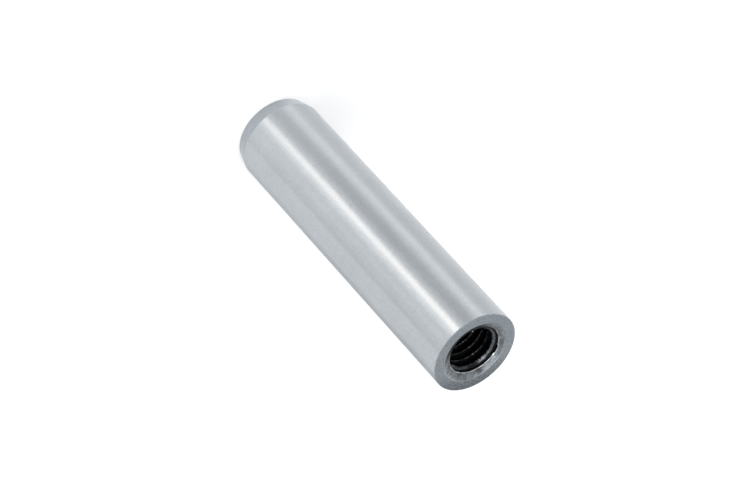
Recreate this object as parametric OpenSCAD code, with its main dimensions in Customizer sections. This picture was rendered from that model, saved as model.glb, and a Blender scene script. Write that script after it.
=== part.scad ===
// Dowel pin with a pull thread: one hardened steel cylinder, ground on its outside.
// Its insert end has a slim lead-in chamfer, and its other end a countersunk blind hole for the thread.
// The pin stands on its insert end. The origin is the centre of that end's face, and +Z runs up the axis.

/* [Body] */
// Diameter of the ground body
pin_d = 8; // [7:0.5:14]
// Overall length, from face to face
pin_len = 32; // [20:1:80]

/* [Insert end] */
// Length of the lead-in chamfer, along the axis
lead_len = 1.3; // [0.5:0.1:3]
// Slope of the lead-in chamfer, in degrees from the axis
lead_angle = 15; // [5:1:30]

/* [Threaded end] */
// Width of the edge break around the face
edge_break = 0.05; // [0.02:0.01:0.3]
// Diameter of the countersink at the face
sink_d = 6; // [4.8:0.1:6.4]
// Angle across the countersink, in degrees
sink_angle = 120; // [60:5:140]

/* [Pull thread] */
// Diameter of the bore at the crests of the thread, which is also the drill's
bore_d = 4.2; // [2.8:0.1:4.5]
// Depth of the bore below the face, down to the drill point
bore_depth = 12; // [9:0.5:16]
// Angle across the drill point, in degrees
drill_angle = 118; // [90:1:140]

/* [Hidden] */
steel = [0.72, 0.74, 0.76];
pin_r = pin_d / 2;
bore_r = bore_d / 2;
sink_r = sink_d / 2;
// Radius of the flat at the insert end, which the pin stands on
foot_r = pin_r - lead_len * tan(lead_angle);
// Height of the cone that the countersink cuts, from the face down to the bore
sink_depth = (sink_r - bore_r) / tan(sink_angle / 2);
// Height of the drill point
point_len = bore_r / tan(drill_angle / 2);
bore_floor = pin_len - bore_depth;
// How far the hole's cutter runs past the face
overcut = 1;
$fn = 128;

// The solid bar: flat foot, lead-in chamfer, ground cylinder and a broken edge at the threaded end
module turned_bar() {
    rotate_extrude()
        polygon([
            [0, 0],
            [foot_r, 0],
            [pin_r, lead_len],
            [pin_r, pin_len - edge_break],
            [pin_r - edge_break, pin_len],
            [0, pin_len]
        ]);
}

// The hole before it is tapped: drill point, bore and countersink, carried past the face at the same slope
module drilled_hole() {
    rotate_extrude()
        polygon([
            [0, bore_floor - point_len],
            [bore_r, bore_floor],
            [bore_r, pin_len - sink_depth],
            [sink_r + overcut * tan(sink_angle / 2), pin_len + overcut],
            [0, pin_len + overcut]
        ]);
}

module dowel_pin() {
    color(steel)
        difference() {
            turned_bar();
            drilled_hole();
        }
}

dowel_pin();
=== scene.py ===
"""Looks of the dowel pin: its tapped hole, its steels, a white studio and the camera.

Lengths are in metres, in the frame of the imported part: the pin stands on its insert end, and +Z runs up its
axis. Angles about the axis start at +X and turn towards +Y.
"""

import math

import bpy
from mathutils import Matrix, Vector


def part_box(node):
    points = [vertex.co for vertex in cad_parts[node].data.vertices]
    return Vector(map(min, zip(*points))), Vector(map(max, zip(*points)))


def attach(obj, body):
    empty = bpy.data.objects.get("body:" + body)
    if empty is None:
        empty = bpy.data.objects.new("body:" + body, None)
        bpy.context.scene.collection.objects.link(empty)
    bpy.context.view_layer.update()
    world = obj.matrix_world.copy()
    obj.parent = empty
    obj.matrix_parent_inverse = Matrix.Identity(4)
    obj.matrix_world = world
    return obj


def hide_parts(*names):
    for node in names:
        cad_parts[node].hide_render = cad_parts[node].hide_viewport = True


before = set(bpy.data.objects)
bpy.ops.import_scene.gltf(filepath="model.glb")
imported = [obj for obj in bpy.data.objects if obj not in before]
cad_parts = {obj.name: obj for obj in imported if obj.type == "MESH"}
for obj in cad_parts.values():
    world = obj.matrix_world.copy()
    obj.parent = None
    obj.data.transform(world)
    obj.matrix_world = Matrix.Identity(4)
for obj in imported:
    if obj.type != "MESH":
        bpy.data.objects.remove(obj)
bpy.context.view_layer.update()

# The turned section. The radius and the length come from the frame
LEAD_LEN = 0.0013
LEAD_SLOPE = math.tan(math.radians(15))
# How far the lead-in chamfer blends into the cylinder, each way from the corner, and in how many steps
LEAD_BLEND = 0.0002
BLEND_STEPS = 6
EDGE_BREAK = 0.00005
SINK_R = 0.003
SINK_SLOPE = math.tan(math.radians(60))
# The countersink's rim is rubbed this far to each side of SINK_R
RIM_BREAK = 0.00004
BORE_DEPTH = 0.012
POINT_SLOPE = math.tan(math.radians(59))
# About the height of each ring of faces on the cylinder
RING_STEP = 0.0015

# The M5 x 0.8 thread, right-handed, tapped into the bore's wall
CREST_R = 0.0021
ROOT_R = 0.0025
PITCH = 0.0008
ROOT_FLAT = 0.00015
FLANK_SLOPE = math.tan(math.radians(30))
# The flank is bright from this radius in
BRIGHT_R = 0.00234
CREST_WEAR = 0.00005
# Depth below the face of a crest's upper edge, on the +X side
CREST_START = 0.00011
# Depth at which the groove starts to run out, and at which it is gone
RUNOUT_START = 0.008
RUNOUT_END = 0.0096
# A crest is pushed in by up to this much where it comes out at the mouth, between these depths
MOUTH_SAG = 0.00012
SAG_DEPTHS = (0.0004, 0.0007)
# A chip in the first groove's root: its ends, how far it reaches out, and the share of its length that tapers
CHIP_FROM = math.radians(117)
CHIP_TO = math.radians(138)
CHIP_REACH = 0.00012
CHIP_TAPER = 0.25
# Width of the rubbed edge where the countersink ends
RUBBED = 0.00007
# The burr at the chip, where that edge is wider and painted bright, as a glint
BURR_AT = math.radians(114)
BURR_HALF = math.radians(2)
BURR_WIDTH = 0.0001
BURR_GLINT_GAIN = 1.9
# Crests whose flank lies above this depth are worn bright by the screws that start there
WORN_DEPTH = 0.001

# Columns of the mesh around the axis
SEGMENTS = 240
CREASE_ANGLE = math.radians(12)
# How many corners groove_corners gives each groove
CORNERS = 6
# A column's points are in order from the outside's first point to the bore's floor
OUTSIDE_ORDER = -1000
FLOOR_ORDER = 1000

UP = (0, 0, 1)
# Stretches of a noise's values to spread over a range: the narrower, the harder the contrast
WIDE = (0.2, 0.8)
MIDDLE = (0.25, 0.75)
NARROW = (0.3, 0.7)
# The sides on which a surface is painted lighter or darker, as painted light and shade, and the side towards
# which the threaded end is darker, as angles about the axis
LEAD_PAINTED_LIGHT_SIDE = math.radians(193)
FACE_DARK_SIDE = math.radians(52)
SINK_PAINTED_LIGHT_SIDE = math.radians(195)
SINK_PAINTED_SHADE_SIDE = math.radians(274)
LIP_PAINTED_SHADE_SIDE = math.radians(270)
THREAD_PAINTED_LIGHT_SIDE = math.radians(150)
# A dark blot on the countersink
BLOT_ANGLE = math.radians(75)
BLOT_R = 0.00255
BLOT_Z = 0.03174
# Stretches where the worn flank is painted darker or lighter, as painted shade and light: (angle, full
# within, none beyond, factor), in degrees about the axis
FLANK_LIGHT_AND_SHADE_SPANS = ((68, 11, 16, 0.22), (99, 8, 11, 0.65))

# The camera looks along +Y and down, and is rolled until the pin's +Z points to the lower right
CAMERA_AT = (0.0, -0.2245, 0.18812)
CAMERA_HEADING = math.radians(-0.189)
CAMERA_TILT = math.radians(37.354)
CAMERA_ROLL = math.radians(137.811)
LENS_MM = 160.9
CLIP_START = 0.01

# The studio's walls, as the steel sees them: (bearing, strength), with bearing 0 behind the camera, 90 at +X
WALLS = (
    (-180, 1.2),
    (-160, 2.2),
    (-142, 4.6),
    (-124, 5.6),
    (-110, 3.9),
    (-100, 3.6),
    (-90, 2.2),
    (-76, 3.6),
    (-70, 7.6),
    (-64, 6.2),
    (-54, 4.5),
    (-46, 0.5),
    (-38, 0.0),
    (-25, 0.0),
    (-21, 3.2),
    (-16, 1.8),
    (-8, 2.7),
    (4, 5.6),
    (11, 7.1),
    (16, 3.5),
    (23, 2.9),
    (32, 4.9),
    (43, 3.0),
    (53, 3.9),
    (56, 1.0),
    (59, 1.0),
    (62, 5.0),
    (72, 4.1),
    (100, 3.9),
    (110, 3.4),
    (117, 1.8),
    (124, 0.0),
)
# The walls are faintly warm
WALL_TINT = (1.035, 1.0, 0.965)
# Elevations between which the walls give way to the ceiling, and the ceiling's strength from there to its top
WALL_TOPS = (math.radians(5), math.radians(20))
CEILING = (0.71, 0.5)
WHITE = (1, 1, 1, 1)
# The lamps: (name, bearing, elevation, distance, width, height, watts, tint)
LAMPS = (
    ("softbox", -4, 27, 0.35, 0.084, 0.35, 0.375, (1.11, 1.0, 0.89)),
    ("overhead", 42, 80, 0.5, 0.09, 0.09, 0.42, (1.0, 1.0, 1.0)),
)
FLOOR_SIZE = 6
FLOOR_COLOUR = (0.775, 0.8, 0.825)
# What the floor adds to its own light where it is looked at or mirrored, so that it shows white
FLOOR_GLOW = 0.33


def section(pin_r, length):
    """The outside, from the foot's edge round to the countersink, as (radius, height, surface).

    surface names what lies between a point and the next one.
    """
    foot_r = pin_r - LEAD_LEN * LEAD_SLOPE
    points = [(foot_r, 0.0, "lead")]
    for step in range(BLEND_STEPS + 1):
        t = step / BLEND_STEPS
        # A parabola that touches the chamfer at its start and the cylinder at its end
        drop = LEAD_BLEND * LEAD_SLOPE * (1 - t) ** 2
        height = LEAD_LEN - LEAD_BLEND + 2 * LEAD_BLEND * t
        points.append((pin_r - drop, height, "lead" if t < 0.5 else "ground"))
    low = points[-1][1]
    top = length - EDGE_BREAK
    rings = round((top - low) / RING_STEP)
    for ring in range(1, rings + 1):
        points.append((pin_r, low + (top - low) * ring / rings, "ground"))
    points[-1] = (pin_r, top, "edge")
    points.append((pin_r - EDGE_BREAK, length, "matte"))
    points.append((SINK_R + RIM_BREAK, length, "edge"))
    points.append((SINK_R - RIM_BREAK, length - RIM_BREAK * 2 / SINK_SLOPE, "sink"))
    return points


def groove_corners(angle):
    """The corners of every groove at this angle, from the mouth down, as (order, radius, depth, surface)."""
    corners = []
    for turn in range(-1, math.ceil(RUNOUT_END / PITCH) + 1):
        # The crest below the groove starts here
        crest = CREST_START + PITCH * (turn + 1 - angle / math.tau)
        sag = min(1.0, max(0.0, (SAG_DEPTHS[1] - crest) / (SAG_DEPTHS[1] - SAG_DEPTHS[0])))
        crest += MOUTH_SAG * sag * sag * (3 - 2 * sag)
        left = min(1.0, (RUNOUT_END - crest) / (RUNOUT_END - RUNOUT_START))
        if left <= 0:
            break
        root = CREST_R + (ROOT_R - CREST_R) * left
        bright = CREST_R + (BRIGHT_R - CREST_R) * left
        worn = CREST_R + CREST_WEAR * left

        def flank(radius):
            return crest - (radius - CREST_R) * FLANK_SLOPE

        full_root = flank(ROOT_R)
        inner = "flank" if crest < WORN_DEPTH else "thread"
        chipped = root
        if turn == 0 and CHIP_FROM < angle < CHIP_TO:
            chipped += CHIP_REACH * min(1.0, (CHIP_TO - angle) / (CHIP_TO - CHIP_FROM) / CHIP_TAPER)
        corners += [
            (CREST_R, 2 * full_root - ROOT_FLAT - crest, "thread"),
            (chipped, 2 * full_root - ROOT_FLAT - flank(root), "thread"),
            (chipped, flank(root), "thread"),
            (bright, flank(bright), inner),
            (worn, flank(worn), "crest"),
            (CREST_R, crest + CREST_WEAR * left / 2, "thread"),
        ]
    return [(order, *corner) for order, corner in enumerate(corners)]


def hole_wall(angle):
    """The threaded wall from the point where the countersink meets it, as groove_corners gives it."""

    def proud(radius, depth):
        """How far the wall lies outside the countersink's cone there."""
        return radius - (SINK_R - depth * SINK_SLOPE)

    wall = groove_corners(angle)
    last = max(i for i, (_, radius, depth, _) in enumerate(wall) if proud(radius, depth) < 0)
    _, r0, d0, surface = wall[last]
    _, r1, d1, _ = wall[last + 1]
    share = proud(r0, d0) / (proud(r0, d0) - proud(r1, d1))
    radius = r0 + (r1 - r0) * share
    depth = d0 + (d1 - d0) * share
    width = BURR_WIDTH if abs(angle - BURR_AT) < BURR_HALF else RUBBED
    # These two come before every groove's corners
    rubbed = (-2, radius + width, depth - width / SINK_SLOPE, "lip")
    meeting = (-1, radius, depth, surface)
    return [rubbed, meeting] + wall[last + 1 :]


def column(angle, pin_r, length):
    """The whole section at this angle, as (order, radius, height, surface).

    order rises along the section, and a point keeps its order from one column to the next, so that
    neighbouring columns can be joined.
    """
    points = [(order, *point) for order, point in enumerate(section(pin_r, length), OUTSIDE_ORDER)]
    for order, radius, depth, surface in hole_wall(angle):
        points.append((order, radius, length - depth, surface))
    points.append((FLOOR_ORDER, CREST_R, length - BORE_DEPTH, "thread"))
    return points


def one_turn_on(rows):
    """A column's (order, vertex, surface) rows, with each groove's corners as those of the groove before."""
    moved = []
    for order, vertex, surface in rows:
        in_thread = 0 <= order < FLOOR_ORDER
        moved.append((order + CORNERS if in_thread else order, vertex, surface))
    return moved


def joined(left, right):
    """Faces between two neighbouring columns of (order, vertex, surface), as (vertices, surface)."""
    faces = []
    i = j = 0
    while i + 1 < len(left) or j + 1 < len(right):
        next_left = left[i + 1][0] if i + 1 < len(left) else math.inf
        next_right = right[j + 1][0] if j + 1 < len(right) else math.inf
        corners = [left[i][1], right[j][1]]
        surface = left[i][2] if next_left <= next_right else right[j][2]
        if next_right <= next_left:
            j += 1
            corners.append(right[j][1])
        if next_left <= next_right:
            i += 1
            corners.append(left[i][1])
        faces.append((corners, surface))
    return faces


def pin_mesh(name, surfaces, pin_r, length):
    """The whole pin as one closed mesh. surfaces lists the surfaces in the order of their materials."""
    foot, point = 0, 1
    vertices = [(0, 0, 0), (0, 0, length - BORE_DEPTH - CREST_R / POINT_SLOPE)]
    columns = []
    for step in range(SEGMENTS):
        angle = math.tau * step / SEGMENTS
        rows = []
        for order, radius, height, surface in column(angle, pin_r, length):
            rows.append((order, len(vertices), surface))
            vertices.append((radius * math.cos(angle), radius * math.sin(angle), height))
        columns.append(rows)
    faces = []
    for left, right in zip(columns, columns[1:] + [one_turn_on(columns[0])]):
        faces.append(([foot, right[0][1], left[0][1]], "matte"))
        faces += joined(left, right)
        faces.append(([left[-1][1], right[-1][1], point], "thread"))
    mesh = bpy.data.meshes.new(name)
    mesh.from_pydata(vertices, [], [corners for corners, _ in faces])
    mesh.polygons.foreach_set("material_index", [surfaces.index(surface) for _, surface in faces])
    mesh.polygons.foreach_set("use_smooth", [True] * len(faces))
    mesh.set_sharp_from_angle(angle=CREASE_ANGLE)
    mesh.validate()
    return mesh


def put(tree, kind, inputs=None, **settings):
    """Adds a shader node. inputs gives, by socket name or number, a value or the socket that feeds it."""
    node = tree.nodes.new("ShaderNode" + kind)
    for name, value in settings.items():
        setattr(node, name, value)
    for name, value in (inputs or {}).items():
        if isinstance(value, bpy.types.NodeSocket):
            tree.links.new(value, node.inputs[name])
        else:
            node.inputs[name].default_value = value
    return node


def noise(tree, per_metre, detail=2.0, roughness=0.5):
    """Noise from about 0 to 1 in the pin's own space.

    per_metre is how many cells it has to a metre, as one number or as one each for X, Y and Z.
    """
    cells = per_metre if isinstance(per_metre, tuple) else (per_metre,) * 3
    place = put(tree, "TexCoord").outputs["Object"]
    scaled = put(tree, "VectorMath", {0: place, 1: cells}, operation="MULTIPLY").outputs[0]
    inputs = {"Vector": scaled, "Scale": 1.0, "Detail": detail, "Roughness": roughness}
    return put(tree, "TexNoise", inputs).outputs[0]


def spread(tree, value, from_low, from_high, to_low, to_high, smooth=False):
    """value, moved from one range to another and held inside it."""
    ends = {"From Min": from_low, "From Max": from_high, "To Min": to_low, "To Max": to_high}
    kind = "SMOOTHSTEP" if smooth else "LINEAR"
    return put(tree, "MapRange", {"Value": value, **ends}, interpolation_type=kind).outputs[0]


def times(tree, *factors):
    product = factors[0]
    for factor in factors[1:]:
        product = put(tree, "Math", {0: product, 1: factor}, operation="MULTIPLY").outputs[0]
    return product


def mixed(tree, factor, first, second):
    """The colour first where factor is 0, and second where it is 1."""
    # A Mix node's colours are its inputs 6 and 7 and its output 2
    return put(tree, "Mix", {0: factor, 6: first, 7: second}, data_type="RGBA").outputs[2]


def rays(tree, *kinds):
    """1 to the kinds of ray that are named, and 0 to all others."""
    path = put(tree, "LightPath").outputs
    found = path[kinds[0]]
    for kind in kinds[1:]:
        found = put(tree, "Math", {0: found, 1: path[kind]}, operation="MAXIMUM").outputs[0]
    return found


def toward(angle):
    """The level direction at that angle about the axis."""
    return (math.cos(angle), math.sin(angle), 0)


def part_of_place(tree, along):
    """How far a point lies along the direction, in metres."""
    place = put(tree, "TexCoord").outputs["Object"]
    return put(tree, "VectorMath", {0: place, 1: along}, operation="DOT_PRODUCT").outputs["Value"]


def distance_from_axis(tree):
    place = put(tree, "TexCoord").outputs["Object"]
    flat = put(tree, "VectorMath", {0: place, 1: (1, 1, 0)}, operation="MULTIPLY").outputs[0]
    return put(tree, "VectorMath", {0: flat}, operation="LENGTH").outputs["Value"]


def sided(tree, side, start, end, before, after):
    """before, changing to after between the distances start and end, measured from the axis to that side."""
    return spread(tree, part_of_place(tree, toward(side)), start, end, before, after)


def near_angle(tree, angle, full, none, gain):
    """gain within the angle full on each side of angle, about the axis, falling to 1 at the angle none."""
    part = part_of_place(tree, toward(angle))
    facing = put(tree, "Math", {0: part, 1: distance_from_axis(tree)}, operation="DIVIDE")
    return spread(tree, facing.outputs[0], math.cos(none), math.cos(full), 1.0, gain)


def steel(name, colour, roughness, anisotropic=0.0):
    """A metal of that colour. Returns the material, its tree and its shader."""
    material = bpy.data.materials.new(name)
    material.use_nodes = True
    tree = material.node_tree
    shader = tree.nodes["Principled BSDF"]
    shader.inputs["Base Color"].default_value = (*colour, 1)
    shader.inputs["Metallic"].default_value = 1.0
    shader.inputs["Roughness"].default_value = roughness
    shader.inputs["Anisotropic"].default_value = anisotropic
    shader.inputs["Anisotropic Rotation"].default_value = 0.25 if anisotropic else 0.0
    return material, tree, shader


def shade(tree, shader, factor):
    """Multiplies the shader's colour by the factor, from place to place."""
    colour = tuple(shader.inputs["Base Color"].default_value)[:3]
    shaded = put(tree, "VectorMath", {0: colour, "Scale": factor}, operation="SCALE").outputs[0]
    tree.links.new(shaded, shader.inputs["Base Color"])


def roughen(tree, shader, roughness):
    """Sets the shader's roughness, from place to place."""
    tree.links.new(roughness, shader.inputs["Roughness"])


def emboss(tree, shader, height, depth):
    """Gives the surface a relief of that depth, in metres."""
    bump = put(tree, "Bump", {"Height": height, "Distance": depth, "Strength": 1.0})
    tree.links.new(bump.outputs[0], shader.inputs["Normal"])


def ground_steel(length):
    """The cylinder: ground round and round, so that what it mirrors is drawn out along the axis.

    It is a little smoother towards the insert end, and painted a little lighter there, against the shadowed
    floor that it mirrors there.
    """
    material, tree, shader = steel("ground_steel", (0.456, 0.484, 0.51), 0.38, anisotropic=1.0)
    shader.inputs["Specular Tint"].default_value = (0.88, 0.88, 0.88, 1)
    lines = noise(tree, (120, 120, 4500), detail=3.0)
    patches = noise(tree, (350, 350, 250))
    specks = noise(tree, 10000, detail=1.0)
    height = part_of_place(tree, UP)
    factor = times(
        tree,
        spread(tree, lines, *WIDE, 0.97, 1.03),
        spread(tree, patches, *WIDE, 0.97, 1.03),
        # Painted lighter towards the insert end, against the shadowed floor that it mirrors there
        spread(tree, height, 0.0, length, 1.03, 0.985),
        spread(tree, specks, *WIDE, 0.87, 1.13),
    )
    shade(tree, shader, factor)
    smoother = spread(tree, height, 0.002, 0.015, 0.88, 1.0)
    roughen(tree, shader, times(tree, spread(tree, lines, *WIDE, 0.35, 0.38), smoother))
    emboss(tree, shader, lines, 0.0000008)
    return material


def lead_steel():
    """The lead-in chamfer: finely grained, and painted lighter on one side, as painted light."""
    material, tree, shader = steel("lead_steel", (0.377, 0.405, 0.431), 0.27)
    grain = noise(tree, 5500, detail=1.0)
    factor = times(
        tree,
        spread(tree, grain, *MIDDLE, 0.91, 1.09),
        # Painted light on one side of the chamfer
        sided(tree, LEAD_PAINTED_LIGHT_SIDE, 0.0026, 0.0036, 1.0, 1.3),
    )
    shade(tree, shader, factor)
    return material


def matte_steel():
    """The two flat ends: dull and finely pitted, and darker and coarser towards one side of the threaded one.
    """
    material, tree, shader = steel("matte_steel", (0.363, 0.407, 0.446), 0.5)
    grain = noise(tree, 5500, detail=2.0, roughness=0.7)
    patches = noise(tree, 500)
    # 0 at the insert end and 1 at the threaded end
    high = spread(tree, part_of_place(tree, UP), 0.002, 0.03, 0.0, 1.0)
    # Darker and coarser towards one side of the threaded end
    darkened = times(tree, high, sided(tree, FACE_DARK_SIDE, 0.0013, 0.0037, 0.0, 1.0))
    grain_low = spread(tree, darkened, 0.0, 1.0, 0.69, 0.38)
    grain_high = spread(tree, darkened, 0.0, 1.0, 1.31, 1.62)
    factor = times(
        tree,
        spread(tree, grain, *MIDDLE, grain_low, grain_high),
        spread(tree, patches, *WIDE, 0.95, 1.05),
        spread(tree, darkened, 0.0, 1.0, 1.0, 0.56),
    )
    shade(tree, shader, factor)
    roughen(tree, shader, spread(tree, grain, *MIDDLE, 0.44, 0.56))
    emboss(tree, shader, grain, 0.000004)
    return material


def sink_steel():
    """The countersink: cut rough and mottled, with a painted light side, a side in painted shade and a blot.

    It is also painted darker towards the thread, as shade in the mouth of the hole.
    """
    material, tree, shader = steel("sink_steel", (0.24, 0.266, 0.29), 0.5)
    mottle = noise(tree, 2200, detail=3.0, roughness=0.65)
    grain = noise(tree, 8000, detail=1.0)
    blotches = noise(tree, 1300, detail=1.0)
    blot_at = (BLOT_R * math.cos(BLOT_ANGLE), BLOT_R * math.sin(BLOT_ANGLE), BLOT_Z)
    place = put(tree, "TexCoord").outputs["Object"]
    off_blot = put(tree, "VectorMath", {0: place, 1: blot_at}, operation="DISTANCE").outputs["Value"]
    factor = times(
        tree,
        spread(tree, mottle, *NARROW, 0.7, 1.3),
        spread(tree, blotches, *NARROW, 0.75, 1.25),
        spread(tree, grain, *MIDDLE, 0.75, 1.25),
        # Painted shade towards the thread, then painted light on one side and painted shade on another
        spread(tree, distance_from_axis(tree), 0.0024, 0.0028, 0.72, 1.0),
        sided(tree, SINK_PAINTED_LIGHT_SIDE, 0.0022, 0.0029, 1.0, 1.6),
        sided(tree, SINK_PAINTED_SHADE_SIDE, 0.00135, 0.0026, 1.05, 0.14),
        spread(tree, off_blot, 0.0001, 0.0006, 0.36, 1.0, smooth=True),
    )
    shade(tree, shader, factor)
    shader.inputs["Specular Tint"].default_value = (0.4, 0.4, 0.4, 1)
    roughen(tree, shader, spread(tree, mottle, *NARROW, 0.58, 0.5))
    emboss(tree, shader, mottle, 0.000006)
    return material


def edge_steel():
    """The edges of the ring-shaped face, with small nicks."""
    material, tree, shader = steel("edge_steel", (0.35, 0.385, 0.41), 0.55)
    nicks_and_glints = noise(tree, 3000, detail=2.0)
    shade(tree, shader, spread(tree, nicks_and_glints, *NARROW, 0.8, 1.1))
    roughen(tree, shader, spread(tree, nicks_and_glints, *NARROW, 0.65, 0.5))
    return material


def lip_steel():
    """The countersink's inner edge: rubbed bright in places, partly as a painted highlight along it,
    brightest at the burr, where a glint is painted, and in painted shade on one side.
    """
    # The rubbed edge's light colour is partly a painted highlight along it
    material, tree, shader = steel("lip_steel", (0.55, 0.585, 0.61), 0.5)
    nicks_and_glints = noise(tree, 3000, detail=2.0)
    factor = times(
        tree,
        # Brighter in places, partly as a painted highlight, with a painted glint at the burr and painted
        # shade on one side
        spread(tree, nicks_and_glints, 0.35, 0.6, 0.4, 1.0),
        near_angle(tree, BURR_AT, BURR_HALF, 2 * BURR_HALF, BURR_GLINT_GAIN),
        sided(tree, LIP_PAINTED_SHADE_SIDE, 0.0008, 0.002, 1.0, 0.15),
    )
    shade(tree, shader, factor)
    return material


def thread_steel(name, colour, roughness, contrast, sides=(1.0, 1.0), patchy=0.15, glint=6.0, spans=()):
    """A part of the thread, with blotches of that contrast and a few nicks painted bright as glints.

    sides gives its painted brightness on the side painted darker and on the side painted lighter, as painted
    light. The smaller patchy is, the harder the blotches' edges are. glint is the brightness of a painted
    glint at a nick. spans lists stretches painted darker or lighter, as painted shade and light, as the
    flank's spans do.
    """
    material, tree, shader = steel(name, colour, roughness)
    blotches = noise(tree, 6500, detail=2.0, roughness=0.6)
    nicks_and_glints = noise(tree, 3300, detail=0.0)
    factor = times(
        tree,
        spread(tree, blotches, 0.5 - patchy, 0.5 + patchy, 1 - contrast, 1 + contrast),
        # Nicks painted bright, as glints
        spread(tree, nicks_and_glints, 0.72, 0.8, 1.0, glint),
        # Painted light on one side
        sided(tree, THREAD_PAINTED_LIGHT_SIDE, -CREST_R, CREST_R, *sides),
        # Stretches painted darker or lighter, as shade and light
        *(near_angle(tree, *map(math.radians, angles), gain) for *angles, gain in spans),
    )
    shade(tree, shader, factor)
    roughen(tree, shader, spread(tree, blotches, *NARROW, roughness * 1.2, roughness * 0.8))
    return material


def thread_steels():
    """The steels of the thread's worn flank and crest and of all the rest of the hole, by surface. All have
    nicks painted bright as glints, and the flank has painted light and shade as well.
    """
    return {
        # The flank's sides and spans are painted light and shade
        "flank": thread_steel(
            "worn_flank_with_painted_light", (0.08, 0.089, 0.097), 0.36, 0.4, sides=(0.6, 1.7), glint=2.5, spans=FLANK_LIGHT_AND_SHADE_SPANS
        ),
        # The crest's bright nicks are painted glints
        "crest": thread_steel("worn_crest_with_painted_glints", (0.034, 0.037, 0.04), 0.17, 0.95, patchy=0.07, glint=16.0),
        "thread": thread_steel("black_thread", (0.012, 0.0125, 0.013), 0.45, 0.4),
    }


def add_camera():
    data = bpy.data.cameras.new("camera")
    data.lens = LENS_MM
    data.clip_start = CLIP_START
    camera = bpy.data.objects.new("camera", data)
    bpy.context.collection.objects.link(camera)
    turn = (
        Matrix.Rotation(CAMERA_HEADING, 4, "Z")
        @ Matrix.Rotation(math.pi / 2 - CAMERA_TILT, 4, "X")
        @ Matrix.Rotation(CAMERA_ROLL, 4, "Z")
    )
    camera.matrix_world = Matrix.Translation(CAMERA_AT) @ turn
    bpy.context.scene.camera = camera


def fill_walls(ramp):
    """Sets a colour ramp over the bearings from -180 to 180 degrees."""
    stops = ramp.elements
    while len(stops) > 1:
        stops.remove(stops[-1])
    stops[0].position = 0.0
    for number, (bearing, strength) in enumerate(WALLS):
        stop = stops[0] if number == 0 else stops.new((bearing + 180) / 360)
        stop.color = (*(strength * part for part in WALL_TINT), 1)


def add_world():
    """White to the eye. To the pin it is a studio: strips and gaps in the walls, and a plain ceiling."""
    world = bpy.data.worlds.new("studio")
    bpy.context.scene.world = world
    world.use_nodes = True
    tree = world.node_tree
    way = put(tree, "SeparateXYZ", {0: put(tree, "TexCoord").outputs["Generated"]}).outputs
    back = times(tree, way["Y"], -1.0)
    bearing = put(tree, "Math", {0: way["X"], 1: back}, operation="ARCTAN2").outputs[0]
    ramp = put(tree, "ValToRGB", {"Fac": spread(tree, bearing, -math.pi, math.pi, 0.0, 1.0)})
    fill_walls(ramp.color_ramp)
    low, high = (math.sin(angle) for angle in WALL_TOPS)
    up = spread(tree, way["Z"], low, high, 0.0, 1.0)
    ceiling = spread(tree, way["Z"], high, 1.0, *CEILING)
    studio = mixed(tree, up, ramp.outputs["Color"], ceiling)
    shown = mixed(tree, rays(tree, "Is Camera Ray", "Is Transmission Ray"), studio, WHITE)
    tree.links.new(shown, tree.nodes["Background"].inputs["Color"])


def add_floor():
    bpy.ops.mesh.primitive_plane_add(size=FLOOR_SIZE)
    floor = bpy.context.object
    floor.name = "floor"
    material = bpy.data.materials.new("floor")
    material.use_nodes = True
    tree = material.node_tree
    paint = tree.nodes["Principled BSDF"]
    paint.inputs["Base Color"].default_value = (*FLOOR_COLOUR, 1)
    paint.inputs["Roughness"].default_value = 1.0
    paint.inputs["Specular IOR Level"].default_value = 0.0
    seen = rays(tree, "Is Camera Ray", "Is Glossy Ray", "Is Transmission Ray")
    glow = put(tree, "Emission", {"Strength": times(tree, seen, FLOOR_GLOW)})
    both = put(tree, "AddShader", {0: paint.outputs[0], 1: glow.outputs[0]})
    tree.links.new(both.outputs[0], tree.nodes["Material Output"].inputs["Surface"])
    floor.data.materials.append(material)


def add_lamps():
    """Each lamp faces the origin, and its width lies level."""
    for name, bearing, elevation, distance, width, height, watts, tint in LAMPS:
        data = bpy.data.lights.new(name, "AREA")
        data.shape = "RECTANGLE"
        data.size = width
        data.size_y = height
        data.energy = watts
        data.color = tint
        lamp = bpy.data.objects.new(name, data)
        bpy.context.collection.objects.link(lamp)
        aside = Matrix.Rotation(math.radians(bearing), 4, "Z")
        tipped = Matrix.Rotation(math.radians(90 - elevation), 4, "X")
        lamp.matrix_world = aside @ tipped @ Matrix.Translation((0, 0, distance))


def add_pin():
    """The dressed pin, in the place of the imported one."""
    low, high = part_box("dowel_pin")
    pin_r = min(high.x, high.y, -low.x, -low.y)
    surfaces = {
        "ground": ground_steel(high.z),
        "lead": lead_steel(),
        "matte": matte_steel(),
        "lip": lip_steel(),
        "edge": edge_steel(),
        "sink": sink_steel(),
        **thread_steels(),
    }
    mesh = pin_mesh("dowel_pin_turned", list(surfaces), pin_r, high.z)
    for material in surfaces.values():
        mesh.materials.append(material)
    pin = bpy.data.objects.new("pin", mesh)
    bpy.context.collection.objects.link(pin)
    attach(pin, "root")
    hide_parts("dowel_pin")


add_pin()
add_floor()
add_world()
add_lamps()
add_camera()
bpy.context.scene.view_settings.view_transform = "Standard"
